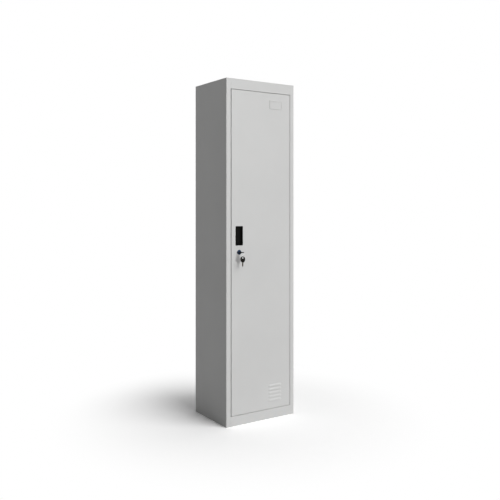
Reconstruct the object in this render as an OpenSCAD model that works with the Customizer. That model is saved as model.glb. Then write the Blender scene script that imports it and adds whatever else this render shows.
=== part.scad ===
// Tall single-door steel locker: a folded sheet-metal cabinet with an inset door that turns on
// two hidden pivot pins, a recessed pull, a cam lock with its two keys, pressed louvres and a
// pressed card holder. Millimetres, +Z up, the front faces -Y, and the origin is the middle of
// the footprint on the floor.

/* [Cabinet] */
// Width of the cabinet, outside
cabinet_w = 445; // [380:5:600]
// Depth of the cabinet, outside
cabinet_d = 335; // [280:5:520]
// Height of the cabinet
cabinet_h = 1850; // [1700:10:2000]
// Thickness of the folded steel sheet
sheet = 0.8; // [0.6:0.1:1.2]
// Outer radius of the bend at the two front corners
corner_r = 2; // [1.6:0.2:3]
// Width of the front stile on the lock side
lock_stile_w = 28; // [24:0.5:34]
// Width of the front stile on the hinge side
hinge_stile_w = 25.5; // [22:0.5:32]
// Height of the front rail above the door
top_rail_h = 56; // [40:0.5:70]
// Height of the plinth below the door
plinth_h = 52.5; // [40:0.5:80]
// How far the folded frame goes back from the front
frame_depth = 23; // [22:0.5:27]
// Width of the flange that the door closes against
stop_flange_w = 18; // [15:1:20]
// Width of the small folds that stiffen and join the panels
weld_fold = 14; // [10:1:18]

/* [Wall fixing] */
// Distance between the two holes in the back
wall_hole_pitch = 300; // [200:10:340]
// Diameter of the holes in the back
wall_hole_dia = 8; // [6:0.5:10]
// Distance of the holes below the top
wall_hole_drop = 90; // [70:5:150]

/* [Shelf and hanging rail] */
// Height of the space above the hat shelf
hat_space_h = 300; // [240:10:340]
// Height of the front lip of the shelf
shelf_lip_h = 25; // [18:1:35]
// Gap between the shelf and the walls round it
shelf_gap = 0.3; // [0.2:0.1:1]
// Leg of the angle that carries the shelf
runner_leg = 16; // [12:1:22]
// Thickness of that angle
runner_t = 1.2; // [1:0.1:2]
// Diameter of the hanging rail
rail_dia = 19; // [16:1:25]
// Wall of the hanging rail
rail_wall = 1.2; // [0.8:0.1:2]
// Distance of the rail below the shelf
rail_drop = 62; // [50:1:80]
// Thickness of the cradles that hold the rail
cradle_t = 1.5; // [1.2:0.1:2]
// Length of the cradles along the rail
cradle_len = 12; // [8:1:16]
// Gap between the rail and its cradles
rail_gap = 0.1; // [0.05:0.05:0.3]

/* [Door] */
// Gap above and below the door and beside it on the hinge side
door_gap = 2; // [2:0.1:4]
// Gap beside the door on the lock side
lock_side_gap = 4; // [3:0.1:5]
// How far the door lies behind the front of the frame
door_inset = 0.5; // [0.5:0.1:2]
// Depth of the folded edges of the door
door_depth = 18; // [16:0.5:19]
// Width of the lip folded in at the back of the door
door_lip = 12; // [9:1:15]
// Distance from the middle of the door to its stiffener, towards the lock
stiffener_off = 22; // [10:1:40]
// Width of the crown of the stiffener
stiffener_crown = 40; // [30:1:50]
// Depth of the stiffener
stiffener_depth = 14; // [10:0.5:15]
// Width of each foot of the stiffener
stiffener_foot = 13; // [10:1:16]
// Distance of the stiffener from the top and bottom folds of the door
stiffener_end_gap = 24; // [15:1:60]

/* [Pivots] */
// Diameter of the pivot pins
pin_dia = 6; // [5:0.5:7]
// Distance of the pins from the hinge edge of the door
pin_in = 9; // [8.5:0.5:9.5]
// Distance of the pins behind the front of the door
pin_back = 5.6; // [5.4:0.1:6]
// Radial running clearance of the pins in their plates
running_gap = 0.05; // [0.03:0.01:0.1]
// Thickness of the pivot plates
pivot_plate_t = 3; // [2:0.5:4]
// Length of the pivot plates across the door
pivot_plate_w = 28; // [22:1:34]
// Thickness of the heads of the pins
pin_head_t = 2; // [1.5:0.5:3]
// Clearance round a pin where it goes through sheet
pin_hole_gap = 0.8; // [0.5:0.1:1.2]
// Gap above the washer that the door turns on
washer_gap = 0.3; // [0.2:0.1:0.5]

/* [Buffers] */
// Diameter of the rubber buffers
buffer_dia = 9; // [7:0.5:11]
// Gap between the buffers and the closed door
buffer_gap = 0.3; // [0.2:0.1:0.6]

/* [Pull] */
// Width of the pull
pull_w = 46; // [42:1:56]
// Height of the pull
pull_h = 103; // [90:1:120]
// Distance from the lock edge of the door to the middle of the pull
pull_in = 48.5; // [44:0.5:60]
// Height of the middle of the pull above the floor
pull_z = 1012; // [950:1:1060]
// Depth of the recess behind the front of the door
pull_depth = 20; // [16:0.5:21]
// Radius of the corners of the pull
pull_corner_r = 4; // [3:0.5:6]
// Thickness of the rim in front of the door
pull_rim_t = 1.8; // [1.2:0.1:2.5]
// How far the rim overlaps the door round its cut-out
pull_rim_lap = 1.8; // [1.4:0.1:3]
// Wall of the recess
pull_wall = 1.5; // [1.2:0.1:2]
// How far the rim turns in over the recess, for the fingers to pull on
pull_grip = 3; // [2:0.5:4]
// Clearance of the pull in its cut-out
pull_gap = 0.2; // [0.1:0.05:0.4]

/* [Lock] */
// Distance of the lock below the middle of the pull
lock_drop = 88; // [76:1:100]
// Diameter of the face of the lock
lock_face_dia = 26; // [23:0.5:28]
// Thickness of the face of the lock
lock_face_t = 3; // [2:0.5:4]
// Diameter of the barrel of the lock
barrel_dia = 18.8; // [17:0.2:19.4]
// Width of the barrel across its flats
barrel_flats = 16.6; // [16:0.2:17]
// Clearance of the barrel in the door and in its nut
barrel_gap = 0.1; // [0.05:0.05:0.3]
// Diameter of the plug that the key turns
plug_dia = 12.8; // [12:0.2:13.4]
// How far the plug stands in front of the face
plug_proud = 0.4; // [0.2:0.1:1]
// Width of the nut across its flats
nut_af = 23; // [22:0.5:25]
// Thickness of the nut
nut_t = 4; // [3:0.5:5]
// Length of the cam from the middle of the lock to its tip
cam_len = 45; // [41:1:48]
// Width of the cam
cam_w = 16; // [13:1:18]
// Thickness of the cam
cam_t = 2; // [1.5:0.5:2.5]
// Gap between the turned cam and the flange it holds
cam_gap = 0.5; // [0.3:0.1:1]
// Side of the square end of the plug
plug_square = 7; // [6:0.5:8]
// Diameter of the screw that holds the cam
cam_screw_dia = 3; // [2.5:0.5:4]

/* [Keys] */
// Width of the head of a key
bow_w = 27; // [24:1:30]
// Length of the head of a key
bow_len = 31; // [29:1:34]
// Thickness of the moulded head
bow_t = 4.6; // [4:0.2:5.4]
// Thickness of the head round its hole
bow_web_t = 3; // [2.4:0.2:3.4]
// Radius of the hole in the head
bow_hole_r = 4.8; // [4.8:0.1:5.2]
// Width of the bar between the hole and the end of the head
bow_web = 2.8; // [2.4:0.1:3]
// Chamfer round the hole in the head
bow_rim = 0.6; // [0.3:0.1:0.8]
// Width of the blade
blade_w = 7.5; // [6.5:0.1:8]
// Thickness of the blade
blade_t = 2; // [1.6:0.1:2.4]
// Length of the blade inside the lock
blade_len = 20; // [17:0.5:21]
// Depth of the cuts in the blade
blade_cut = 1.6; // [1:0.1:2]
// Length of blade that shows between the lock and the head
blade_bare = 2.5; // [2:0.5:5]
// Clearance round the blade in its keyway
keyway_gap = 0.25; // [0.15:0.05:0.3]
// Radius of the key ring, to the middle of its wire
ring_r = 13.2; // [13:0.1:13.4]
// Radius of the wire of the key ring
ring_wire_r = 0.7; // [0.5:0.05:0.8]
// Gap where the ring hangs on a key
hang_gap = 0.3; // [0.2:0.05:0.4]

/* [Louvres] */
// Number of louvres
louvre_count = 5; // [3:1:8]
// Width of a louvre
louvre_w = 87; // [70:1:110]
// Height of a louvre
louvre_h = 12; // [9:0.5:14]
// How far a louvre stands out
louvre_rise = 2.25; // [2:0.25:5]
// Distance from one louvre to the next
louvre_pitch = 20; // [17:0.5:24]
// Height of the lowest louvre above the bottom of the door
louvre_up = 41; // [30:1:60]
// Distance from the hinge edge of the door to the middle of the louvres
louvre_in = 103; // [90:1:125]

/* [Card holder] */
// Width of the window of the card holder
card_window_w = 74; // [70:1:95]
// Height of the window of the card holder
card_window_h = 38; // [36:1:52]
// Width of the border round the window
card_border = 5; // [4:0.5:6]
// Thickness of the card holder
card_holder_t = 2; // [2:0.1:3]
// Thickness of its back and of its border
card_sheet = 0.6; // [0.5:0.1:0.7]
// Distance from the hinge edge of the door to the middle of the holder
card_in = 96; // [80:1:120]
// Distance from the top of the door to the middle of the holder
card_down = 62.5; // [50:0.5:90]

/* [Hidden] */
$fn = 96;
eps = 0.01;

steel_grey = [0.80, 0.80, 0.79];
inside_grey = [0.74, 0.74, 0.73];
black = [0.05, 0.05, 0.05];
dark_blue = [0.05, 0.10, 0.17];
plated = [0.72, 0.73, 0.75];
brass = [0.62, 0.54, 0.40];
white_nylon = [0.92, 0.92, 0.90];

// Faces of the cabinet
left = -cabinet_w / 2;
right = cabinet_w / 2;
front = -cabinet_d / 2;
back = cabinet_d / 2;
wall_left = left + sheet;
wall_right = right - sheet;
fold_back = back - 2 * sheet;
frame_back = front + frame_depth;

// The opening that the front frame leaves, and the door in it
opening_left = left + lock_stile_w;
opening_right = right - hinge_stile_w;
opening_top = cabinet_h - top_rail_h;
door_left = opening_left + lock_side_gap;
door_right = opening_right - door_gap;
door_bottom = plinth_h + door_gap;
door_top = opening_top - door_gap;
door_front = front + door_inset;
door_back = door_front + door_depth;
door_inner = door_front + sheet;
door_mid = (door_left + door_right) / 2;

pin_x = door_right - pin_in;
pin_y = door_front + pin_back;
pin_r = pin_dia / 2;
pin_head_r = pin_back - sheet - 0.4;
pin_len = sheet + door_gap + sheet + 2 * pivot_plate_t;

pull_x = door_left + pull_in;
lock_x = pull_x;
lock_z = pull_z - lock_drop;
cam_front = frame_back + cam_gap;
barrel_end = cam_front - cam_gap;
plug_front = door_front - lock_face_t - plug_proud;
keyway_w = blade_w + 2 * keyway_gap;
keyway_t = blade_t + 2 * keyway_gap;

// Radius of the thin part round the hole, which runs out past the end of the head
bow_recess_r = bow_hole_r + bow_web + 1;

// A key ring hangs in the hole of a key: its inner edge clears the corners of the bar it hangs on
ring_inner_r = ring_r - ring_wire_r;
ring_drop = sqrt(pow(ring_inner_r, 2) - pow(bow_web / 2, 2)) - bow_web_t / 2 - hang_gap;
bow_end = plug_front - blade_bare - bow_len;
ring_y = bow_end + bow_web / 2;
ring_z = lock_z - ring_drop;
spare_top = ring_z - ring_inner_r + hang_gap + bow_web;

shelf_top = cabinet_h - hat_space_h;
shelf_front = cam_front + cam_t + 7;
shelf_back = fold_back - shelf_gap;
shelf_hem = 10;
rail_r = rail_dia / 2;
rail_z = shelf_top - rail_drop;

louvre_x = door_right - louvre_in;
louvre_arc_r = (pow(louvre_rise, 2) + pow(louvre_h, 2)) / (2 * louvre_rise);
card_x = door_right - card_in;
card_z = door_top - card_down;

// A box from its lowest to its highest corner
module span(low, high) {
    translate(low) cube(high - low);
}

// A rectangle with round corners, centred
module round_rect(w, h, r) {
    square([w - 2 * r, h], center = true);
    square([w, h - 2 * r], center = true);
    for (sx = [-1, 1]) for (sy = [-1, 1])
        translate([sx * (w / 2 - r), sy * (h / 2 - r)]) circle(r);
}

// Turns a flat shape drawn in X and Z so that its thickness goes back from the front, along +Y
module facing(thick) {
    translate([0, thick, 0]) rotate([90, 0, 0]) linear_extrude(thick) children();
}

// Turns a shape drawn along +Z so that it points into the cabinet, along +Y
module inward() {
    rotate([-90, 0, 0]) children();
}

// A solid bar with round ends, from the origin to a point below it
module round_bar(w, reach) {
    circle(w / 2);
    translate([-w / 2, w / 2 - reach]) square([w, reach - w / 2]);
    translate([0, w / 2 - reach]) circle(w / 2);
}

// Section of a side panel from above: wall, rounded front corner, stile, return and rear fold
module side_section(stile_w) {
    translate([0, corner_r]) square([sheet, cabinet_d - corner_r]);
    translate([corner_r, corner_r]) intersection() {
        difference() {
            circle(corner_r);
            circle(corner_r - sheet);
        }
        translate([-corner_r, -corner_r]) square(corner_r);
    }
    translate([corner_r, 0]) square([stile_w - corner_r, sheet]);
    translate([stile_w - sheet, 0]) square([sheet, frame_depth]);
    translate([0, cabinet_d - 2 * sheet]) square([weld_fold, sheet]);
}

module side_panel(stile_w) {
    linear_extrude(cabinet_h - sheet) side_section(stile_w);
}

// Left side, with the flange that the door closes against and the cam hooks behind
module left_side_panel() {
    color(steel_grey) {
        translate([left, front, 0]) side_panel(lock_stile_w);
        span([opening_left - sheet, frame_back - sheet, plinth_h],
             [opening_left + stop_flange_w, frame_back, opening_top]);
    }
}

// Right side, whose stile is hemmed outwards so that the door can swing clear of it
module right_side_panel() {
    color(steel_grey) {
        translate([right, front, 0]) mirror([1, 0, 0]) side_panel(hinge_stile_w);
        span([opening_right, frame_back - sheet, 0],
             [opening_right + weld_fold, frame_back, cabinet_h - sheet]);
    }
}

// Back, let in between the sides, with two holes for fixing the locker to a wall
module back_panel() {
    color(steel_grey) difference() {
        span([wall_left, back - sheet, 0], [wall_right, back, cabinet_h - sheet]);
        for (s = [-1, 1])
            translate([s * wall_hole_pitch / 2, back - 2 * sheet, cabinet_h - wall_hole_drop])
                inward() cylinder(d = wall_hole_dia, h = 3 * sheet);
    }
}

// Top, with the rail above the door folded down in front and folds along the sides
module top_panel() {
    color(steel_grey) {
        span([left, front, cabinet_h - sheet], [right, back, cabinet_h]);
        span([opening_left, front, opening_top],
             [opening_right, front + sheet, cabinet_h - sheet]);
        difference() {
            span([opening_left, front, opening_top],
                 [opening_right, frame_back, opening_top + sheet]);
            translate([pin_x, pin_y, opening_top - eps])
                cylinder(r = pin_r + pin_hole_gap, h = sheet + 2 * eps);
        }
        span([opening_left, frame_back - sheet, opening_top],
             [opening_right, frame_back, opening_top + weld_fold]);
        for (x = [wall_left, wall_right - sheet])
            span([x, frame_back + sheet, cabinet_h - sheet - weld_fold],
                 [x + sheet, fold_back, cabinet_h - sheet]);
    }
}

// Outline of the plinth from above: narrow between the stiles, wide behind them
module plinth_outline(inset) {
    translate([opening_left + inset, front + inset])
        square([opening_right - opening_left - 2 * inset, frame_depth + sheet + eps]);
    translate([wall_left + inset, frame_back + sheet + inset])
        square([wall_right - wall_left - 2 * inset, fold_back - frame_back - sheet - 2 * inset]);
}

// Floor of the locker and its plinth: folded down all round and turned in to stand on the ground
module plinth_floor() {
    color(steel_grey) difference() {
        linear_extrude(plinth_h) plinth_outline(0);
        translate([0, 0, sheet]) linear_extrude(plinth_h - 2 * sheet) plinth_outline(sheet);
        translate([0, 0, -eps]) linear_extrude(sheet + 2 * eps) plinth_outline(weld_fold);
        translate([pin_x, pin_y, plinth_h - sheet - eps])
            cylinder(r = pin_r + pin_hole_gap, h = sheet + 2 * eps);
    }
}

// Two angles on the side walls that carry the hat shelf
module shelf_runners() {
    runner_front = shelf_front + shelf_hem + 2;
    runner_back = shelf_back - shelf_hem - 2;
    runner_top = shelf_top - sheet;
    color(inside_grey) for (s = [0, 1]) mirror([s, 0, 0]) {
        span([wall_left, runner_front, runner_top - runner_leg],
             [wall_left + runner_t, runner_back, runner_top]);
        span([wall_left, runner_front, runner_top - runner_t],
             [wall_left + runner_leg, runner_back, runner_top]);
    }
}

// Hat shelf: a sheet with a deep front lip and a shallow rear one, both hemmed
module hat_shelf() {
    x0 = wall_left + shelf_gap;
    x1 = wall_right - shelf_gap;
    lip_low = shelf_top - shelf_lip_h;
    color(inside_grey) {
        span([x0, shelf_front, shelf_top - sheet], [x1, shelf_back, shelf_top]);
        span([x0, shelf_front, lip_low], [x1, shelf_front + sheet, shelf_top]);
        span([x0, shelf_front, lip_low], [x1, shelf_front + shelf_hem, lip_low + sheet]);
        span([x0, shelf_back - sheet, lip_low], [x1, shelf_back, shelf_top]);
    }
}

// Hanging rail, a tube across the locker
module hanging_rail() {
    x0 = wall_left + cradle_t + rail_gap;
    len = wall_right - wall_left - 2 * (cradle_t + rail_gap);
    color(plated) translate([x0, 0, rail_z]) rotate([0, 90, 0]) difference() {
        cylinder(r = rail_r, h = len);
        translate([0, 0, -eps]) cylinder(r = rail_r - rail_wall, h = len + 2 * eps);
    }
}

// One cradle on the left wall: a back plate and an open hook under the end of the rail
module rail_cradle() {
    hook_r = rail_r + rail_gap;
    plate_w = 2 * (hook_r + cradle_t) + 10;
    translate([wall_left, 0, rail_z]) rotate([90, 0, 90]) {
        linear_extrude(cradle_t) round_rect(plate_w, plate_w + 6, 4);
        linear_extrude(cradle_t + cradle_len) difference() {
            union() {
                circle(hook_r + cradle_t);
                translate([-hook_r - cradle_t, 0]) square([2 * (hook_r + cradle_t), hook_r / 2]);
            }
            circle(hook_r);
            translate([-hook_r, 0]) square([2 * hook_r, hook_r + cradle_t + eps]);
        }
    }
}

module rail_cradles() {
    color(plated) for (s = [0, 1]) mirror([s, 0, 0]) rail_cradle();
}

// Plate with the hole that a pivot pin turns in, lying from low upwards
module frame_pivot_plate(low) {
    difference() {
        span([pin_x - pivot_plate_w + pin_in, front + sheet, low],
             [opening_right - sheet, frame_back - sheet, low + pivot_plate_t]);
        translate([pin_x, pin_y, low - eps])
            cylinder(r = pin_r + running_gap, h = pivot_plate_t + 2 * eps);
    }
}

// Upper pivot plate, on the rail above the door
module upper_pivot_plate() {
    color(plated) frame_pivot_plate(opening_top + sheet);
}

// Lower pivot plate, under the floor of the plinth
module lower_pivot_plate() {
    color(plated) frame_pivot_plate(plinth_h - sheet - pivot_plate_t);
}

// Nylon washer under the door, round the lower pin
module pivot_washer() {
    color(white_nylon) translate([pin_x, pin_y, plinth_h]) difference() {
        cylinder(r = pin_back - 0.6, h = door_gap - washer_gap);
        translate([0, 0, -eps]) cylinder(r = pin_r + running_gap, h = door_gap);
    }
}

// Three rubber buffers on the flange that the door closes against
module door_buffers() {
    buffer_t = frame_back - sheet - door_back - buffer_gap;
    buffer_x = opening_left + stop_flange_w - buffer_dia / 2 - 1;
    chamfer = buffer_t / 4;
    color(black) for (z = [door_bottom + 120, lock_z - 120, door_top - 120])
        translate([buffer_x, frame_back - sheet, z]) rotate([90, 0, 0]) rotate_extrude()
            polygon([[0, 0], [buffer_dia / 2, 0], [buffer_dia / 2, buffer_t - chamfer],
                     [buffer_dia / 2 - chamfer, buffer_t], [0, buffer_t]]);
}

// A pebble with its middle behind the skin: the part in front of the skin is one pressed louvre
module louvre_pebble(r, high) {
    straight = louvre_w - 2 * louvre_h;
    reach = louvre_w / 2 + 1;
    intersection() {
        translate([0, louvre_arc_r - louvre_rise, 0]) {
            rotate([0, 90, 0]) cylinder(r = r, h = straight, center = true);
            for (s = [-1, 1]) translate([s * straight / 2, 0, 0]) sphere(r);
        }
        span([-reach, -louvre_rise - 1, 0], [reach, high, louvre_h + 1]);
    }
}

// Places its children at the mouth of each louvre
module at_louvres() {
    for (i = [0 : louvre_count - 1])
        translate([louvre_x, door_front, door_bottom + louvre_up + i * louvre_pitch]) children();
}

// Shape of the lock barrel from the front: round with two flats, so that it can't turn
module barrel_outline(gap) {
    intersection() {
        circle(barrel_dia / 2 + gap);
        square([barrel_flats + 2 * gap, barrel_dia + 1], center = true);
    }
}

// Door: one sheet folded back at all four edges, with lips, cut-outs and louvres
module door_panel() {
    color(steel_grey) difference() {
        union() {
            difference() {
                span([door_left, door_front, door_bottom], [door_right, door_back, door_top]);
                span([door_left + sheet, door_inner, door_bottom + sheet],
                     [door_right - sheet, door_back - sheet, door_top - sheet]);
                span([door_left + door_lip, door_inner, door_bottom + door_lip],
                     [door_right - door_lip, door_back + 1, door_top - door_lip]);
            }
            at_louvres() louvre_pebble(louvre_arc_r, sheet / 2);
        }
        at_louvres() louvre_pebble(louvre_arc_r - sheet, 2 * sheet);
        translate([pull_x, door_front - sheet, pull_z]) facing(3 * sheet)
            round_rect(pull_w - 2 * pull_rim_lap, pull_h - 2 * pull_rim_lap, pull_corner_r);
        translate([lock_x, door_front - sheet, lock_z]) facing(3 * sheet)
            barrel_outline(barrel_gap);
        translate([pin_x, pin_y, door_bottom - 1])
            cylinder(r = pin_r + pin_hole_gap, h = door_top - door_bottom + 2);
    }
}

// Top-hat channel behind the face of the door
module door_stiffener() {
    x = door_mid - stiffener_off;
    crown = stiffener_crown / 2;
    foot = crown + stiffener_foot;
    z0 = door_bottom + stiffener_end_gap;
    color(inside_grey) translate([x, door_inner, z0])
        linear_extrude(door_top - door_bottom - 2 * stiffener_end_gap) {
            for (s = [0, 1]) mirror([s, 0]) {
                translate([crown - sheet, 0]) square([stiffener_foot + sheet, sheet]);
                translate([crown - sheet, 0]) square([sheet, stiffener_depth]);
            }
            translate([-crown, stiffener_depth - sheet]) square([2 * crown, sheet]);
        }
}

// Thick plates inside the top and bottom folds of the door that hold the pivot pins
module door_corner_plates() {
    color(plated) for (z = [door_bottom + sheet, door_top - sheet - pivot_plate_t]) difference() {
        span([pin_x - pivot_plate_w + pin_in, door_inner, z],
             [door_right - sheet, door_back - sheet, z + pivot_plate_t]);
        translate([pin_x, pin_y, z - eps])
            cylinder(r = pin_r + running_gap, h = pivot_plate_t + 2 * eps);
    }
}

// A pivot pin standing on its head, which is at the bottom
module pivot_pin(len) {
    cylinder(r = pin_head_r, h = pin_head_t);
    cylinder(r = pin_r, h = pin_head_t + len - 0.8);
    translate([0, 0, pin_head_t + len - 0.8]) cylinder(r1 = pin_r, r2 = pin_r - 0.8, h = 0.8);
}

module upper_pivot_pin() {
    color(plated) translate([pin_x, pin_y, door_top - sheet - pivot_plate_t - pin_head_t])
        pivot_pin(pin_len);
}

module lower_pivot_pin() {
    color(plated) translate([pin_x, pin_y, door_bottom + sheet + pivot_plate_t + pin_head_t])
        mirror([0, 0, 1]) pivot_pin(pin_len);
}

// Pressed card holder: a back and a raised border with a window; a card slides in from the right
module card_holder() {
    outer_w = card_window_w + 2 * card_border;
    outer_h = card_window_h + 2 * card_border;
    slot_w = outer_w - 2 * card_sheet;
    slot_h = outer_h - 2 * card_sheet;
    slot_t = card_holder_t - 2 * card_sheet;
    color(steel_grey) translate([card_x, door_front - card_holder_t, card_z]) difference() {
        facing(card_holder_t) round_rect(outer_w, outer_h, 2);
        translate([0, -eps, 0]) facing(card_holder_t - card_sheet + eps)
            round_rect(card_window_w, card_window_h, 1);
        span([-slot_w / 2, card_sheet, -slot_h / 2],
             [outer_w / 2 + 1, card_sheet + slot_t, slot_h / 2]);
    }
}

// Recessed pull: a moulded cup with a rim that turns in over the recess, and four snap wedges
module pull_cup() {
    body_w = pull_w - 2 * (pull_rim_lap + pull_gap);
    body_h = pull_h - 2 * (pull_rim_lap + pull_gap);
    room_w = body_w - 2 * pull_wall;
    room_h = body_h - 2 * pull_wall;
    room_back = pull_depth - pull_wall;
    corner = pull_corner_r - pull_gap;
    wedge = 1.2;
    color(black) translate([pull_x, door_front, pull_z]) {
        difference() {
            union() {
                translate([0, -pull_rim_t, 0]) facing(pull_rim_t)
                    round_rect(pull_w, pull_h, pull_corner_r);
                facing(pull_depth) round_rect(body_w, body_h, corner);
            }
            facing(room_back) round_rect(room_w, room_h, corner - pull_wall);
            translate([0, -pull_rim_t - eps, 0]) facing(pull_rim_t + 2 * eps)
                round_rect(room_w - 2 * pull_grip, room_h - 2 * pull_grip, corner - pull_wall);
        }
        // The sloping floor on the hinge side leads the fingers behind the rim
        translate([0, 0, -room_h / 2]) linear_extrude(room_h)
            polygon([[room_w / 2, room_back / 2], [room_w / 2, room_back], [0, room_back]]);
        for (sx = [0, 1]) for (sz = [-1, 1]) mirror([sx, 0, 0])
            translate([body_w / 2, sheet + 0.1, sz * pull_h / 4 - 5]) linear_extrude(10)
                polygon([[0, 0], [wedge, 0], [0, 4 * wedge]]);
    }
}

// Housing of the cam lock: a bevelled face, and a barrel with two flats through the door
module lock_barrel() {
    face_r = lock_face_dia / 2;
    bevel = lock_face_t / 2;
    color(dark_blue) translate([lock_x, door_front, lock_z]) difference() {
        union() {
            inward() rotate_extrude()
                polygon([[0, -lock_face_t], [face_r - bevel, -lock_face_t],
                         [face_r - bevel / 3, -lock_face_t + bevel / 2],
                         [face_r, -lock_face_t + 1.5 * bevel], [face_r, 0], [0, 0]]);
            facing(barrel_end - door_front) barrel_outline(0);
        }
        translate([0, -lock_face_t - eps, 0]) inward()
            cylinder(r = plug_dia / 2 + running_gap,
                     h = barrel_end - door_front + lock_face_t + 2 * eps);
    }
}

// Hexagon nut that clamps the barrel to the back of the door's face
module lock_nut() {
    color(plated) translate([lock_x, door_inner, lock_z]) inward() difference() {
        cylinder(d = nut_af / cos(30), h = nut_t, $fn = 6);
        translate([0, 0, -eps]) cylinder(r = barrel_dia / 2 + barrel_gap, h = nut_t + 2 * eps);
    }
}

// Plug of the lock: a cylinder with a keyway, a square end for the cam and a hole for its screw
module lock_plug() {
    keyway_len = blade_len + 1;
    color(dark_blue) translate([lock_x, 0, lock_z]) difference() {
        union() {
            translate([0, plug_front, 0]) inward()
                cylinder(d = plug_dia, h = cam_front - plug_front);
            span([-plug_square / 2, cam_front - 1, -plug_square / 2],
                 [plug_square / 2, cam_front + cam_t, plug_square / 2]);
        }
        span([-keyway_w / 2, plug_front - 1, -keyway_t / 2],
             [keyway_w / 2, plug_front + keyway_len, keyway_t / 2]);
        translate([0, cam_front + cam_t + eps, 0]) rotate([90, 0, 0])
            cylinder(r = cam_screw_dia / 2 + running_gap, h = 5);
    }
}

// Cam, shown turned down, clear of the flange
module lock_cam() {
    color(plated) translate([lock_x, cam_front, lock_z]) facing(cam_t) difference() {
        round_bar(cam_w, cam_len);
        square(plug_square + 2 * running_gap, center = true);
    }
}

// Pan-head screw that holds the cam on the plug
module cam_screw() {
    head_r = plug_square / 2 + 1.2;
    color(plated) translate([lock_x, cam_front + cam_t, lock_z]) {
        inward() rotate_extrude()
            polygon([[0, 0], [head_r, 0], [head_r, 1], [head_r - 0.8, 2], [0, 2.4]]);
        translate([0, eps, 0]) rotate([90, 0, 0]) cylinder(d = cam_screw_dia, h = 4);
    }
}

// Blade of a key, pointing along +Y, with the shoulder of its cuts at the origin
module blade_shape() {
    half = blade_w / 2;
    tang = blade_bare + bow_len / 3;
    step = blade_len / 6;
    color(brass) translate([0, 0, -blade_t / 2]) linear_extrude(blade_t) difference() {
        polygon([[-half, -tang], [half, -tang], [half, blade_len - half / 2],
                 [half / 3, blade_len], [-half / 3, blade_len], [-half, blade_len - half / 2]]);
        for (i = [1 : 5]) translate([half, i * step])
            polygon([[eps, -step / 2], [-blade_cut * (0.6 + 0.2 * (i % 3)), -0.5],
                     [-blade_cut * (0.6 + 0.2 * (i % 3)), 0.5], [eps, step / 2]]);
    }
}

// Moulded head of a key, behind the bare stretch of its blade, with the hole near its end
module head_shape() {
    half = bow_w / 2;
    tang = bow_len / 3;
    color(black) translate([0, -blade_bare, 0]) difference() {
        translate([0, 0, -bow_t / 2]) linear_extrude(bow_t) {
            translate([0, half - bow_len]) circle(half);
            translate([0, -half]) intersection() {
                circle(half);
                translate([-half, 0]) square([bow_w, half - 1.5]);
            }
            translate([-half, half - bow_len]) square([bow_w, bow_len - bow_w]);
            translate([-blade_w / 2 - 2, -half]) square([blade_w + 4, half]);
        }
        translate([0, bow_web + bow_hole_r - bow_len, 0]) {
            cylinder(r = bow_hole_r, h = 2 * bow_t, center = true);
            for (s = [0, 1]) mirror([0, 0, s]) {
                translate([0, 0, bow_web_t / 2]) cylinder(r = bow_recess_r, h = bow_t);
                translate([0, 0, bow_web_t / 2 - bow_rim])
                    cylinder(r1 = bow_hole_r, r2 = bow_hole_r + bow_rim + eps, h = bow_rim + eps);
            }
        }
        span([-blade_w / 2 - running_gap, -tang - running_gap, -blade_t / 2 - running_gap],
             [blade_w / 2 + running_gap, 1, blade_t / 2 + running_gap]);
    }
}

module key_blade() {
    translate([lock_x, plug_front, lock_z]) blade_shape();
}

module key_head() {
    translate([lock_x, plug_front, lock_z]) head_shape();
}

// Wire ring through the holes of both keys
module key_ring() {
    color(plated) translate([lock_x, ring_y, ring_z]) rotate([0, 90, 0]) rotate_extrude()
        translate([ring_r, 0]) circle(ring_wire_r, $fn = 24);
}

// Hangs a key on the bottom of the ring, blade down and flat side to the front
module hung() {
    translate([lock_x, ring_y, spare_top - bow_len - blade_bare])
        rotate([-90, 0, 0]) children();
}

module spare_key_blade() {
    hung() blade_shape();
}

module spare_key_head() {
    hung() head_shape();
}

left_side_panel();
right_side_panel();
back_panel();
top_panel();
plinth_floor();
shelf_runners();
hat_shelf();
hanging_rail();
rail_cradles();
upper_pivot_plate();
lower_pivot_plate();
pivot_washer();
door_buffers();
door_panel();
door_stiffener();
door_corner_plates();
upper_pivot_pin();
lower_pivot_pin();
card_holder();
pull_cup();
lock_barrel();
lock_nut();
lock_plug();
lock_cam();
cam_screw();
key_blade();
key_head();
key_ring();
spare_key_blade();
spare_key_head();
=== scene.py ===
import math

import bpy
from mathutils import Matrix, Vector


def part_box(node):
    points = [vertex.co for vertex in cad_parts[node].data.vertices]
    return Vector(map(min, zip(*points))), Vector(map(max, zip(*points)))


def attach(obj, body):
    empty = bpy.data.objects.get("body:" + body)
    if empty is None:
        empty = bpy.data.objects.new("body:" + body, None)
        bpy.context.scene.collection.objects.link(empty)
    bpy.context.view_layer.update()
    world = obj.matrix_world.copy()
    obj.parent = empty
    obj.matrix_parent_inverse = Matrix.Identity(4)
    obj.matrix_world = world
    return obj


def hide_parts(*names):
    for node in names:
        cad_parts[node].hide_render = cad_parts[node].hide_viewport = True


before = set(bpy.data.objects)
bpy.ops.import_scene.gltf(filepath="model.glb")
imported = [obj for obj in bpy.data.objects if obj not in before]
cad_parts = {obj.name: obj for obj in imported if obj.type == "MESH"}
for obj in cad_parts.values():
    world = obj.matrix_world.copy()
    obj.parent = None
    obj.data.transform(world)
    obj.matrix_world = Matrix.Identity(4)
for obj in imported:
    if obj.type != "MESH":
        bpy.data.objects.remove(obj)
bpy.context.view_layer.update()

scene = bpy.context.scene

# The studio: a locker on a white floor with no edge, before a white background. A low lamp in front
# lights it, with a softer one high above, a very soft one on the right and a weak one on the left.
# The floor fades to plain white away from the locker, and lights it less than it shows.
scene.view_settings.view_transform = "Standard"

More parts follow.
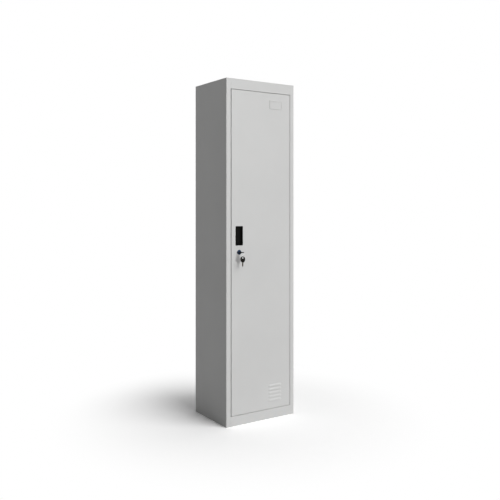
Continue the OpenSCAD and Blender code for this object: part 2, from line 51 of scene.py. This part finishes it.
lens = bpy.data.cameras.new("camera")
lens.lens = 48.08
lens.sensor_width = 36
lens.shift_y = -0.0930
camera = bpy.data.objects.new("camera", lens)
camera.location = (-2.0633, -3.1747, 1.1846)
camera.rotation_euler = (math.radians(90), 0, math.radians(-33.50))
scene.collection.objects.link(camera)
scene.camera = camera

for name, wide, power, height, turn in (
    ("front_lamp", 25, 1.42, 7, 8),
    ("high_lamp", 40, 1.62, 50, 25),
    ("right_lamp", 100, 0.60, 40, 110),
    ("left_lamp", 40, 0.17, 12, -75),
):
    glow = bpy.data.lights.new(name, "SUN")
    glow.energy = power
    glow.angle = math.radians(wide)
    lamp = bpy.data.objects.new(name, glow)
    lamp.rotation_euler = (math.radians(90 - height), 0, math.radians(turn))
    scene.collection.objects.link(lamp)


def looked_at(tree):
    """Whether a ray comes straight from the camera, off a gloss or through glass."""
    path = tree.nodes.new("ShaderNodeLightPath").outputs
    either = path["Is Camera Ray"]
    for other in ("Is Glossy Ray", "Is Transmission Ray"):
        more = tree.nodes.new("ShaderNodeMath")
        more.operation = "MAXIMUM"
        tree.links.new(either, more.inputs[0])
        tree.links.new(path[other], more.inputs[1])
        either = more.outputs[0]
    return either


room = bpy.data.worlds.new("room")
scene.world = room
room.use_nodes = True
tree = room.node_tree
light_level = tree.nodes.new("ShaderNodeMapRange")
light_level.inputs["To Min"].default_value = 0.085
light_level.inputs["To Max"].default_value = 1.0
tree.links.new(looked_at(tree), light_level.inputs["Value"])
tree.nodes["Background"].inputs["Color"].default_value = (1, 1, 1, 1)
tree.links.new(light_level.outputs["Result"], tree.nodes["Background"].inputs["Strength"])

bpy.ops.mesh.primitive_plane_add(size=80)
floor = bpy.context.object
floor.name = "floor"
floor_white = bpy.data.materials.new("floor_white")
floor_white.use_nodes = True
tree = floor_white.node_tree
tree.nodes.clear()
felt = tree.nodes.new("ShaderNodeBsdfDiffuse")
felt.inputs["Color"].default_value = (0.40, 0.40, 0.40, 1)
near = tree.nodes.new("ShaderNodeBsdfDiffuse")
near.inputs["Color"].default_value = (1.24, 1.24, 1.24, 1)
far = tree.nodes.new("ShaderNodeEmission")
place = tree.nodes.new("ShaderNodeTexCoord")
away = tree.nodes.new("ShaderNodeVectorMath")
away.operation = "LENGTH"
fade = tree.nodes.new("ShaderNodeMapRange")
fade.interpolation_type = "SMOOTHSTEP"
fade.inputs["From Min"].default_value = 0.2
fade.inputs["From Max"].default_value = 1.1
seen = tree.nodes.new("ShaderNodeMixShader")
choice = tree.nodes.new("ShaderNodeMixShader")
tree.links.new(place.outputs["Object"], away.inputs[0])
tree.links.new(away.outputs["Value"], fade.inputs["Value"])
tree.links.new(fade.outputs["Result"], seen.inputs[0])
tree.links.new(near.outputs[0], seen.inputs[1])
tree.links.new(far.outputs[0], seen.inputs[2])
tree.links.new(looked_at(tree), choice.inputs[0])
tree.links.new(felt.outputs[0], choice.inputs[1])
tree.links.new(seen.outputs[0], choice.inputs[2])
tree.links.new(choice.outputs[0], tree.nodes.new("ShaderNodeOutputMaterial").inputs["Surface"])
floor.data.materials.append(floor_white)


# The carcass: two sides, back, top and plinth of folded steel sheet 0.8 mm thick, spot-welded with
# tight butt joints and powder-coated light grey, and the hat shelf on its two angles inside. Each
# sheet is the CAD sheet with its folds rounded as a press brake leaves them and its edges eased.
def finish(name, colour, roughness, metallic=0.0, gloss=0.5):
    """A new finish, with the values that are the same all over it."""
    made = bpy.data.materials.new(name)
    made.use_nodes = True
    shader = made.node_tree.nodes["Principled BSDF"]
    shader.inputs["Base Color"].default_value = (*colour, 1)
    shader.inputs["Roughness"].default_value = roughness
    shader.inputs["Metallic"].default_value = metallic
    shader.inputs["Specular IOR Level"].default_value = gloss
    return made


def grain(made, lump, detail=2.0):
    """A cloudy pattern over a finish, in lumps of about that many metres."""
    tree = made.node_tree
    place = tree.nodes.new("ShaderNodeTexCoord")
    noise = tree.nodes.new("ShaderNodeTexNoise")
    noise.inputs["Scale"].default_value = 1 / lump
    noise.inputs["Detail"].default_value = detail
    tree.links.new(place.outputs["Object"], noise.inputs["Vector"])
    return noise.outputs["Fac"]


def tinted(made, pattern, low, high):
    """Lets the colour of a finish drift between two colours along a pattern."""
    tree = made.node_tree
    drift = tree.nodes.new("ShaderNodeMix")
    drift.data_type = "RGBA"
    drift.inputs["A"].default_value = (*low, 1)
    drift.inputs["B"].default_value = (*high, 1)
    spread = tree.nodes.new("ShaderNodeMapRange")
    spread.inputs["From Min"].default_value = 0.35
    spread.inputs["From Max"].default_value = 0.65
    tree.links.new(pattern, spread.inputs["Value"])
    tree.links.new(spread.outputs["Result"], drift.inputs["Factor"])
    tree.links.new(drift.outputs["Result"], tree.nodes["Principled BSDF"].inputs["Base Color"])


def uneven(made, pattern, low, high):
    """Lets the roughness of a finish drift between two values along a pattern."""
    tree = made.node_tree
    spread = tree.nodes.new("ShaderNodeMapRange")
    spread.inputs["From Min"].default_value = 0.3
    spread.inputs["From Max"].default_value = 0.7
    spread.inputs["To Min"].default_value = low
    spread.inputs["To Max"].default_value = high
    tree.links.new(pattern, spread.inputs["Value"])
    tree.links.new(spread.outputs["Result"], tree.nodes["Principled BSDF"].inputs["Roughness"])


def raised(made, pattern, height):
    """Adds relief to a finish, that many metres from its valleys to its peaks."""
    tree = made.node_tree
    normal = tree.nodes["Principled BSDF"].inputs["Normal"]
    bump = tree.nodes.new("ShaderNodeBump")
    bump.inputs["Distance"].default_value = height
    bump.inputs["Strength"].default_value = 1.0
    if normal.links:
        tree.links.new(normal.links[0].from_socket, bump.inputs["Normal"])
    tree.links.new(pattern, bump.inputs["Height"])
    tree.links.new(bump.outputs["Normal"], normal)


def alone(piece):
    """Selects one piece and nothing else."""
    bpy.ops.object.select_all(action="DESELECT")
    piece.select_set(True)
    bpy.context.view_layer.objects.active = piece


def pick(piece, kind, wanted):
    """Goes into edit mode with the edges or faces selected whose places pass a test."""
    alone(piece)
    bpy.ops.object.mode_set(mode="EDIT")
    bpy.ops.mesh.select_mode(type=kind)
    bpy.ops.mesh.select_all(action="DESELECT")
    bpy.ops.object.mode_set(mode="OBJECT")
    corners = piece.data.vertices
    if kind == "EDGE":
        for edge in piece.data.edges:
            edge.select = all(wanted(corners[v].co) for v in edge.vertices)
    else:
        for face in piece.data.polygons:
            face.select = wanted(face.center)
    bpy.ops.object.mode_set(mode="EDIT")


def at(place, x=None, y=None, z=None):
    """Whether a place has these coordinates, to a fiftieth of a millimetre."""
    return all(c is None or abs(p - c) < 2e-5 for p, c in zip(place, (x, y, z)))


def apply_modifiers(piece):
    """Makes the modifiers of a piece part of its mesh, in their order."""
    alone(piece)
    for modifier in list(piece.modifiers):
        bpy.ops.object.modifier_apply(modifier=modifier.name)


def copied(node, name):
    """A copy of a CAD solid as one skin, with its flat faces whole again."""
    piece = bpy.data.objects.new(name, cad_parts[node].data.copy())
    scene.collection.objects.link(piece)
    alone(piece)
    bpy.ops.mesh.customdata_custom_splitnormals_clear()
    bpy.ops.object.mode_set(mode="EDIT")
    bpy.ops.mesh.select_all(action="SELECT")
    bpy.ops.mesh.remove_doubles(threshold=1e-6)
    bpy.ops.mesh.dissolve_limited(angle_limit=math.radians(0.2))
    bpy.ops.object.mode_set(mode="OBJECT")
    return piece


def rounded(piece, radius, **line):
    """Rounds the edges that lie on a line or a plane, such as y=..., z=... for a fold along X."""
    pick(piece, "EDGE", lambda place: at(place, **line))
    bpy.ops.mesh.bevel(offset=radius, segments=4, clamp_overlap=False)
    bpy.ops.object.mode_set(mode="OBJECT")


def folded(piece, inward, **line):
    """Rounds a fold along its outer line, and along its inner one, a sheet inward on both axes."""
    rounded(piece, FOLD, **line)
    inner = {axis: place + way * SHEET for (axis, place), way in zip(line.items(), inward)}
    rounded(piece, FOLD - SHEET, **inner)


def eased(piece, width, steps=2):
    """Takes the sharpness off every edge that is still sharp."""
    bevel = piece.modifiers.new("eased", "BEVEL")
    bevel.width = width
    bevel.segments = steps
    bevel.limit_method = "ANGLE"
    bevel.angle_limit = math.radians(40)
    apply_modifiers(piece)


def fitted(piece, body, slot, coat, *nodes):
    """Shades a finished piece, gives it its coat and puts it in the place of its CAD solids."""
    alone(piece)
    bpy.ops.object.shade_smooth_by_angle(angle=math.radians(35))
    weighted = piece.modifiers.new("weighted", "WEIGHTED_NORMAL")
    weighted.keep_sharp = True
    apply_modifiers(piece)
    piece.data.materials.clear()
    piece.data.materials.append(coat)
    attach(piece, body)
    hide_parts(*nodes)


powder_coat = finish("powder_coat", (0.61, 0.61, 0.60), 0.45)
tinted(powder_coat, grain(powder_coat, 0.30, 3), (0.596, 0.597, 0.592), (0.616, 0.617, 0.611))
uneven(powder_coat, grain(powder_coat, 0.03, 3), 0.40, 0.50)
raised(powder_coat, grain(powder_coat, 0.0018, 1), 0.00003)
raised(powder_coat, grain(powder_coat, 0.20, 1), 0.0003)

HALF_WIDTH, HEIGHT = 0.2225, 1.85
FRONT, STOP = -0.1675, -0.1445
OPEN_LEFT, OPEN_RIGHT = -0.1945, 0.197
OPEN_LOW, OPEN_HIGH = 0.0525, 1.794
SHEET, FOLD, TIGHT_FOLD = 0.0008, 0.0012, 0.0007
FRONT_CORNER = 0.002
SHEARED_EDGE = 0.0002

left_side = copied("left_side_panel", "left_side")
folded(left_side, (-1, 1), x=OPEN_LEFT, y=FRONT)
rounded(left_side, TIGHT_FOLD, x=OPEN_LEFT - SHEET, y=STOP)
rounded(left_side, FOLD - SHEET, x=OPEN_LEFT, y=STOP - SHEET)

right_side = copied("right_side_panel", "right_side")
folded(right_side, (1, 1), x=OPEN_RIGHT, y=FRONT)
folded(right_side, (1, -1), x=OPEN_RIGHT, y=STOP)

back_sheet = copied("back_panel", "back_sheet")

top = copied("top_panel", "top")
for side in (-1, 1):
    rounded(top, FRONT_CORNER, x=side * HALF_WIDTH, y=FRONT)
rounded(top, TIGHT_FOLD, z=HEIGHT)
folded(top, (1, 1), y=FRONT, z=OPEN_HIGH)
folded(top, (-1, 1), y=STOP, z=OPEN_HIGH)

plinth = copied("plinth_floor", "plinth")
folded(plinth, (1, -1), y=FRONT, z=OPEN_LOW)
folded(plinth, (1, 1), y=FRONT, z=0)

shelf_low, shelf_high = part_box("hat_shelf")
shelf = copied("hat_shelf", "shelf")
folded(shelf, (1, -1), y=shelf_low.y, z=shelf_high.z)
folded(shelf, (1, 1), y=shelf_low.y, z=shelf_low.z)
folded(shelf, (-1, -1), y=shelf_high.y, z=shelf_high.z)

RUNNER_SHEET = 0.0012
runner_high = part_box("shelf_runners")[1]
runners = copied("shelf_runners", "runners")
for side in (-1, 1):
    rounded(runners, 1.5 * RUNNER_SHEET, x=side * runner_high.x, z=runner_high.z)
    rounded(
        runners, 0.5 * RUNNER_SHEET,
        x=side * (runner_high.x - RUNNER_SHEET), z=runner_high.z - RUNNER_SHEET,
    )

for piece, node in (
    (left_side, "left_side_panel"),
    (right_side, "right_side_panel"),
    (back_sheet, "back_panel"),
    (top, "top_panel"),
    (plinth, "plinth_floor"),
    (shelf, "hat_shelf"),
    (runners, "shelf_runners"),
):
    eased(piece, SHEARED_EDGE)
    fitted(piece, "cabinet", "cabinet_paint", powder_coat, node)


# The hanging rail, a plated steel tube, in two zinc-plated steel cradles spot-welded to the sides.
# Both have the fine marks and the slow change of tone that handling leaves on plating.
def bare_metal(name, colour, roughness):
    """A plated finish, a little darker and rougher in places."""
    made = finish(name, colour, roughness, metallic=1.0)
    darker = [0.82 * c for c in colour]
    tinted(made, grain(made, 0.012, 3), darker, colour)
    uneven(made, grain(made, 0.004, 4), 0.75 * roughness, 1.4 * roughness)
    raised(made, grain(made, 0.0009, 3), 0.00001)
    return made


bright_plate = bare_metal("bright_plate", (0.62, 0.63, 0.65), 0.16)
zinc_plate = bare_metal("zinc_plate", (0.50, 0.51, 0.52), 0.38)

for node, name, slot, coat in (
    ("hanging_rail", "clothes_rail", "bright_plating", bright_plate),
    ("rail_cradles", "cradles", "zinc_plating", zinc_plate),
):
    piece = copied(node, name)
    eased(piece, 0.0003)
    fitted(piece, "cabinet", slot, coat, node)


# The two pivots of the door: thick zinc-plated plates spot-welded into the frame and the door,
# steel pins riveted into the door's plates, and a nylon washer that carries the door.
nylon = finish("nylon", (0.78, 0.78, 0.74), 0.4)
tinted(nylon, grain(nylon, 0.004), (0.74, 0.74, 0.70), (0.80, 0.80, 0.76))
uneven(nylon, grain(nylon, 0.001), 0.34, 0.48)
raised(nylon, grain(nylon, 0.0006), 0.00002)

for node, name, body, slot, coat, edge in (
    ("upper_pivot_plate", "upper_frame_plate", "cabinet", "zinc_plating", zinc_plate, 0.0004),
    ("lower_pivot_plate", "lower_frame_plate", "cabinet", "zinc_plating", zinc_plate, 0.0004),
    ("pivot_washer", "washer", "cabinet", "white_nylon", nylon, 0.0003),
    ("door_corner_plates", "door_plates", "door", "zinc_plating", zinc_plate, 0.0004),
    ("upper_pivot_pin", "upper_pin", "door", "zinc_plating", zinc_plate, 0.0004),
    ("lower_pivot_pin", "lower_pin", "door", "zinc_plating", zinc_plate, 0.0004),
):
    piece = copied(node, name)
    eased(piece, edge)
    fitted(piece, body, slot, coat, node)


# Three buffers of soft black rubber, stuck to the flange that the door closes against, with
# moulded edges and a dull, slightly blotchy skin.
rubber = finish("rubber", (0.022, 0.022, 0.022), 0.75)
tinted(rubber, grain(rubber, 0.003), (0.018, 0.018, 0.018), (0.030, 0.030, 0.030))
uneven(rubber, grain(rubber, 0.0008), 0.65, 0.85)
raised(rubber, grain(rubber, 0.0005), 0.00003)
buffers = copied("door_buffers", "buffers")
eased(buffers, 0.0005, 3)
fitted(buffers, "cabinet", "buffer_rubber", rubber, "door_buffers")


# The door: one sheet folded back at its four edges, with lips turned in behind, and five louvres
# pressed out of its face, each with a soft root and an open mouth at the bottom. It has holes for
# the pull, the lock and the two pins, and is powder-coated like the carcass.
SKIN = -0.167
DOOR_LEFT, DOOR_RIGHT = -0.1905, 0.195
DOOR_LOW, DOOR_HIGH = 0.0545, 1.792
DOOR_DEEP, DOOR_LIP = 0.018, 0.012
LOUVRE_X, LOUVRE_Z = 0.092, 0.0955
LOUVRE_PITCH, LOUVRES = 0.020, 5
ROUND_AT = 0.0315
PATCH_HALF, PATCH_HIGH, PATCH_CUTS = 0.045, 0.0135, 23
LOUVRE_ARC, LOUVRE_SUNK, LOUVRE_ROOT = 0.033125, 0.030875, 0.0004
mouths = [LOUVRE_Z + LOUVRE_PITCH * i for i in range(LOUVRES)]


def in_louvre(place):
    """Whether a place on the skin is in one of the patches that become louvres."""
    return abs(place.x - LOUVRE_X) < PATCH_HALF and any(
        mouth < place.z < mouth + PATCH_HIGH for mouth in mouths
    )


def swell(x, z):
    """How far a louvre stands out of the door, at a place across and above its mouth."""
    past = max(abs(x) - ROUND_AT, 0)
    rise = math.sqrt(LOUVRE_ARC**2 - past**2 - z**2) - LOUVRE_SUNK
    if rise < -LOUVRE_ROOT:
        return 0
    if rise < LOUVRE_ROOT:
        return (rise + LOUVRE_ROOT) ** 2 / (4 * LOUVRE_ROOT)
    return rise


def on_upright(place):
    """Whether a place is on the left or right edge of the door."""
    return at(place, x=DOOR_LEFT) or at(place, x=DOOR_RIGHT)


def on_level(place):
    """Whether a place is on the bottom or top edge of the door."""
    return at(place, z=DOOR_LOW) or at(place, z=DOOR_HIGH)


def on_rim(place):
    """Whether a place is on any edge of the door."""
    return on_upright(place) or on_level(place)


def on_corner(place):
    """Whether a place is at a corner of the door."""
    return on_upright(place) and on_level(place)


bpy.ops.mesh.primitive_plane_add(
    size=1,
    location=((DOOR_LEFT + DOOR_RIGHT) / 2, SKIN, (DOOR_LOW + DOOR_HIGH) / 2),
    rotation=(math.pi / 2, 0, 0),
)
door = bpy.context.object
door.name = "door_leaf"
door.scale = (DOOR_RIGHT - DOOR_LEFT, DOOR_HIGH - DOOR_LOW, 1)
bpy.ops.object.transform_apply(location=True, rotation=True, scale=True)

for x in (-PATCH_HALF, -ROUND_AT, ROUND_AT, PATCH_HALF):
    pick(door, "FACE", lambda place: True)
    bpy.ops.mesh.bisect(plane_co=(LOUVRE_X + x, 0, 0), plane_no=(1, 0, 0))
    bpy.ops.object.mode_set(mode="OBJECT")
for mouth in mouths:
    for z in (mouth, mouth + PATCH_HIGH):
        pick(door, "FACE", lambda place: abs(place.x - LOUVRE_X) < PATCH_HALF)
        bpy.ops.mesh.bisect(plane_co=(0, 0, z), plane_no=(0, 0, 1))
        bpy.ops.object.mode_set(mode="OBJECT")
pick(door, "FACE", in_louvre)
bpy.ops.mesh.subdivide(number_cuts=PATCH_CUTS)
bpy.ops.object.mode_set(mode="OBJECT")
pick(door, "EDGE", lambda place: any(at(place, z=mouth) for mouth in mouths))
bpy.ops.mesh.edge_split(type="EDGE")
bpy.ops.object.mode_set(mode="OBJECT")
lifted = {v for face in door.data.polygons if in_louvre(face.center) for v in face.vertices}
for v in lifted:
    place = door.data.vertices[v].co
    above = (place.z - LOUVRE_Z + 1e-6) % LOUVRE_PITCH
    place.y -= swell(place.x - LOUVRE_X, above)

pick(door, "EDGE", on_rim)
bpy.ops.mesh.extrude_edges_move(TRANSFORM_OT_translate={"value": (0, DOOR_DEEP, 0)})
bpy.ops.mesh.extrude_edges_move(TRANSFORM_OT_translate={"value": (0, 0, 0)})
bpy.ops.object.mode_set(mode="OBJECT")
for vertex in door.data.vertices:
    if vertex.select:
        x = (at(vertex.co, x=DOOR_LEFT) - at(vertex.co, x=DOOR_RIGHT)) * DOOR_LIP
        z = (at(vertex.co, z=DOOR_LOW) - at(vertex.co, z=DOOR_HIGH)) * DOOR_LIP
        vertex.co.x += x
        vertex.co.z += z
pick(
    door,
    "EDGE",
    lambda place: on_rim(place) and (at(place, y=SKIN) or at(place, y=SKIN + DOOR_DEEP)),
)
bpy.ops.object.mode_set(mode="OBJECT")
corners = door.data.vertices
for edge in door.data.edges:
    ends = [corners[v].co for v in edge.vertices]
    along_fold = abs(ends[0].y - ends[1].y) < 1e-5
    edge.select = edge.select and along_fold or all(on_corner(e) for e in ends)
bpy.ops.object.mode_set(mode="EDIT")
bpy.ops.mesh.bevel(offset=FOLD, segments=4, clamp_overlap=False)
bpy.ops.object.mode_set(mode="OBJECT")
thick = door.modifiers.new("thick", "SOLIDIFY")
thick.thickness = SHEET
thick.offset = -1
thick.use_even_offset = True
apply_modifiers(door)


def block(low, high, corner=0.0):
    """A cutter from corner to corner, with its edges along Y rounded if asked."""
    middle = [(a + b) / 2 for a, b in zip(low, high)]
    bpy.ops.mesh.primitive_cube_add(size=1, location=middle)
    made = bpy.context.object
    made.scale = [b - a for a, b in zip(low, high)]
    bpy.ops.object.transform_apply(location=True, rotation=True, scale=True)
    if corner:
        bpy.ops.object.mode_set(mode="EDIT")
        bpy.ops.mesh.select_all(action="DESELECT")
        bpy.ops.object.mode_set(mode="OBJECT")
        places = made.data.vertices
        for edge in made.data.edges:
            a, b = (places[v].co for v in edge.vertices)
            edge.select = abs(a.x - b.x) < 1e-6 and abs(a.z - b.z) < 1e-6
        bpy.ops.object.mode_set(mode="EDIT")
        bpy.ops.mesh.select_mode(type="EDGE")
        bpy.ops.mesh.bevel(offset=corner, segments=8, clamp_overlap=False)
        bpy.ops.object.mode_set(mode="OBJECT")
    return made


def worked(piece, tool, how="DIFFERENCE"):
    """Cuts a piece with a tool, or keeps what is inside the tool, and takes the tool away."""
    cut = piece.modifiers.new("cut", "BOOLEAN")
    cut.operation = how
    cut.object = tool
    cut.solver = "EXACT"
    apply_modifiers(piece)
    bpy.data.objects.remove(tool)


OVERRUN = 0.002
PULL_X, PULL_Z = -0.142, 1.012
LOCK_X, LOCK_Z = -0.142, 0.924
PIN_X, PIN_Y, PIN_HOLE = 0.186, -0.1614, 0.0038
for x, z, wide, tall, corner in (
    (PULL_X, PULL_Z, 0.0424, 0.0994, 0.004),
    (LOCK_X, LOCK_Z, 0.0168, 0.0190, 0.003),
):
    low = (x - wide / 2, SKIN - OVERRUN, z - tall / 2)
    high = (x + wide / 2, SKIN + OVERRUN, z + tall / 2)
    worked(door, block(low, high, corner))
for z in (DOOR_LOW, DOOR_HIGH):
    bpy.ops.mesh.primitive_cylinder_add(
        vertices=48, radius=PIN_HOLE, depth=2 * OVERRUN, location=(PIN_X, PIN_Y, z)
    )
    worked(door, bpy.context.object)
fitted(door, "door", "cabinet_paint", powder_coat, "door_panel")


# The door's stiffener: a top-hat channel folded from the same sheet and spot-welded behind the
# face, a little towards the lock.
STIFFENER_FOOT = 0.013
brace_low, brace_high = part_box("door_stiffener")
brace = copied("door_stiffener", "stiffener")
for x, inward in ((brace_low.x + STIFFENER_FOOT, 1), (brace_high.x - STIFFENER_FOOT, -1)):
    folded(brace, (inward, -1), x=x, y=brace_high.y)
    folded(brace, (-inward, 1), x=x + inward * SHEET, y=brace_low.y)
eased(brace, SHEARED_EDGE)
fitted(brace, "door", "cabinet_paint", powder_coat, "door_stiffener")


# The card holder: a frame with a window, pressed in thin sheet with softly rolled outer edges. It
# is open on the right, where a card slides in, spot-welded to the door and coated with it.
CARD_CORNER, CARD_ROLL = 0.002, 0.0011
holder_low, holder_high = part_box("card_holder")
holder = copied("card_holder", "card_frame")


def on_outline(place):
    """Whether a place is on the front outline of the card holder, apart from its open end."""
    inset = min(place.x - holder_low.x, place.z - holder_low.z, holder_high.z - place.z)
    return (
        at(place, y=holder_low.y)
        and inset < 0.7 * CARD_CORNER
        and place.x < holder_high.x - 0.9 * CARD_CORNER
    )


pick(holder, "EDGE", on_outline)
bpy.ops.mesh.bevel(offset=CARD_ROLL, segments=4, clamp_overlap=False)
bpy.ops.object.mode_set(mode="OBJECT")
eased(holder, 0.00035, 3)
fitted(holder, "door", "cabinet_paint", powder_coat, "card_holder")


# The pull: a cup moulded in black ABS that snaps into the door from the front. Its rim turns in
# over the recess for the fingers, and its floor slopes up on the hinge side.
moulded = finish("moulded", (0.0034, 0.0035, 0.0030), 0.50, gloss=0.05)
tinted(moulded, grain(moulded, 0.006), (0.0029, 0.0030, 0.0025), (0.0039, 0.0040, 0.0035))
uneven(moulded, grain(moulded, 0.002), 0.45, 0.58)
raised(moulded, grain(moulded, 0.0006, 3), 0.00002)
cup = copied("pull_cup", "pull")
eased(cup, 0.0006, 3)
fitted(cup, "door", "black_moulding", moulded, "pull_cup")


# The lock: a die-cast housing with a domed plated face, coloured dark blue as a painted reflection
# of dark surroundings, and a threaded barrel with two flats that a plated hexagon nut clamps to the
# back of the door.
def turned(name, rings):
    """A piece turned about the lock's axis, from rings of (radius, place along Y)."""
    (radius, y), *rest = rings
    bpy.ops.mesh.primitive_circle_add(
        vertices=64, radius=radius, location=(LOCK_X, y, LOCK_Z), rotation=(math.pi / 2, 0, 0)
    )
    made = bpy.context.object
    made.name = name
    bpy.ops.object.transform_apply(location=True, rotation=True, scale=True)
    bpy.ops.object.mode_set(mode="EDIT")
    bpy.ops.mesh.select_mode(type="EDGE")
    bpy.ops.mesh.select_all(action="SELECT")
    for wide, place in [*rest, rings[0]]:
        bpy.ops.mesh.extrude_edges_move(TRANSFORM_OT_translate={"value": (0, place - y, 0)})
        bpy.ops.transform.resize(
            value=(wide / radius, 1, wide / radius), center_override=(LOCK_X, place, LOCK_Z)
        )
        radius, y = wide, place
    bpy.ops.mesh.select_all(action="SELECT")
    bpy.ops.mesh.remove_doubles(threshold=1e-6)
    bpy.ops.mesh.normals_make_consistent(inside=False)
    bpy.ops.object.mode_set(mode="OBJECT")
    return made


# Dark blue on the lock face and plug: a painted reflection of dark surroundings in plated metal,
# not their own colour.
painted_reflection_blue = finish("painted_reflection_blue", (0.003, 0.023, 0.064), 0.22, gloss=0.15)
tinted(painted_reflection_blue, grain(painted_reflection_blue, 0.004), (0.002, 0.019, 0.056), (0.004, 0.027, 0.072))
uneven(painted_reflection_blue, grain(painted_reflection_blue, 0.002, 3), 0.15, 0.27)
raised(painted_reflection_blue, grain(painted_reflection_blue, 0.0012), 0.00001)

BORE, FACE = 0.00645, 0.0130
lock_face = turned("lock_face", [
    (BORE, SKIN), (FACE, SKIN), (FACE, SKIN - 0.0005), (0.01285, SKIN - 0.00095),
    (0.0124, SKIN - 0.00145), (0.0116, SKIN - 0.00195), (0.0104, SKIN - 0.0024),
    (0.0090, SKIN - 0.00275), (0.0076, SKIN - 0.00295), (0.0069, SKIN - 0.0030),
    (BORE, SKIN - 0.0028),
])
fitted(lock_face, "door", "blue_lacquer", painted_reflection_blue, "lock_barrel")

CREST, ROOT, PITCH, TURNS = 0.0094, 0.0089, 0.001, 21
BARREL_END, BARREL_FLAT = SKIN + 0.0225, 0.0083
thread = [(CREST - 0.0004, BARREL_END - 0.0001), (BORE, BARREL_END), (BORE, SKIN), (CREST, SKIN)]
for i in range(TURNS):
    thread.append((CREST, SKIN + 0.0008 + i * PITCH))
    thread.append((ROOT, SKIN + 0.0013 + i * PITCH))
barrel = turned("lock_thread", thread)
low = (LOCK_X - BARREL_FLAT, SKIN - OVERRUN, LOCK_Z - CREST - OVERRUN)
high = (LOCK_X + BARREL_FLAT, BARREL_END + OVERRUN, LOCK_Z + CREST + OVERRUN)
worked(barrel, block(low, high), "INTERSECT")
fitted(barrel, "door", "zinc_plating", zinc_plate, "lock_barrel")

NUT = SKIN + SHEET
nut = copied("lock_nut", "nut")
worked(nut, turned("chamfers", [
    (0.001, NUT - 0.001), (0.0121, NUT - 0.0002), (0.0136, NUT + 0.0008),
    (0.0136, NUT + 0.0032), (0.0121, NUT + 0.0042), (0.001, NUT + 0.005),
]), "INTERSECT")
fitted(nut, "door", "zinc_plating", zinc_plate, "lock_nut")


# The plug turns in the housing and carries the cam on its square end, held by a pan-head screw
# with a cross recess.
plug = copied("lock_plug", "plug")
eased(plug, 0.00015)
fitted(plug, "lock_core", "blue_lacquer", painted_reflection_blue, "lock_plug")

cam = copied("lock_cam", "cam")
eased(cam, 0.0003)
fitted(cam, "lock_core", "zinc_plating", zinc_plate, "lock_cam")

RECESS_LONG, RECESS_WIDE, RECESS_DEEP = 0.0052, 0.0010, 0.0012
screw_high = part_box("cam_screw")[1]
screw = copied("cam_screw", "screw")
for wide, tall in ((RECESS_LONG, RECESS_WIDE), (RECESS_WIDE, RECESS_LONG)):
    low = (LOCK_X - wide / 2, screw_high.y - RECESS_DEEP, LOCK_Z - tall / 2)
    high = (LOCK_X + wide / 2, screw_high.y + OVERRUN, LOCK_Z + tall / 2)
    worked(screw, block(low, high))
fitted(screw, "lock_core", "zinc_plating", zinc_plate, "cam_screw")


# Two keys, nickel-plated brass blades with cut bits and a groove milled down each side, in black
# moulded heads. One is in the lock, and the other hangs below it on a split ring of spring wire.
# The blades' colour is far darker than bright nickel: a painted dark reflection of the
# surroundings.
key_plate_painted_dark = bare_metal("key_plate_painted_dark", (0.075, 0.063, 0.048), 0.32)
key_black = finish("key_black", (0.006, 0.005, 0.004), 0.55, gloss=0.06)
tinted(key_black, grain(key_black, 0.005), (0.005, 0.004, 0.003), (0.008, 0.007, 0.006))
uneven(key_black, grain(key_black, 0.0015), 0.48, 0.62)
raised(key_black, grain(key_black, 0.0005, 3), 0.00002)

GROOVE_IN, GROOVE_WIDE, GROOVE_DEEP = 0.0012, 0.0012, 0.0004
for body, thin, blade_node, blade_name, head_node, head_name in (
    ("key", 2, "key_blade", "blade", "key_head", "bow"),
    ("spare_key", 1, "spare_key_blade", "spare_blade", "spare_key_head", "spare_bow"),
):
    blade = copied(blade_node, blade_name)
    low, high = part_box(blade_node)
    for face in (low[thin] - OVERRUN, high[thin] - GROOVE_DEEP):
        start = [low.x + GROOVE_IN, low.y - OVERRUN, low.z - OVERRUN]
        end = [start[0] + GROOVE_WIDE, high.y + OVERRUN, high.z + OVERRUN]
        start[thin], end[thin] = face, face + OVERRUN + GROOVE_DEEP
        worked(blade, block(start, end))
    eased(blade, 0.00015)
    fitted(blade, body, "key_metal", key_plate_painted_dark, blade_node)

    head = copied(head_node, head_name)
    eased(head, 0.0006)
    fitted(head, body, "key_moulding", key_black, head_node)

RING, WIRE, COIL_RISE = 0.0132, 0.00034, 0.0007
ring_low, ring_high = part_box("key_ring")
bpy.ops.mesh.primitive_circle_add(
    vertices=12, radius=WIRE, location=(RING, 0, 0), rotation=(math.pi / 2, 0, 0)
)
ring = bpy.context.object
ring.name = "split_ring"
bpy.ops.object.transform_apply(location=True, rotation=True, scale=True)
coil = ring.modifiers.new("coil", "SCREW")
coil.angle = math.radians(720)
coil.screw_offset = COIL_RISE
coil.steps = coil.render_steps = 160
apply_modifiers(ring)
bpy.ops.object.mode_set(mode="EDIT")
bpy.ops.mesh.select_all(action="SELECT")
bpy.ops.mesh.fill_holes(sides=0)
bpy.ops.mesh.select_all(action="SELECT")
bpy.ops.mesh.normals_make_consistent(inside=False)
bpy.ops.transform.translate(value=(0, 0, -COIL_RISE / 2))
bpy.ops.transform.rotate(value=math.pi / 2, orient_axis="Y", center_override=(0, 0, 0))
bpy.ops.transform.translate(value=(ring_low + ring_high) / 2)
bpy.ops.object.mode_set(mode="OBJECT")
fitted(ring, "ring", "bright_plating", bright_plate, "key_ring")
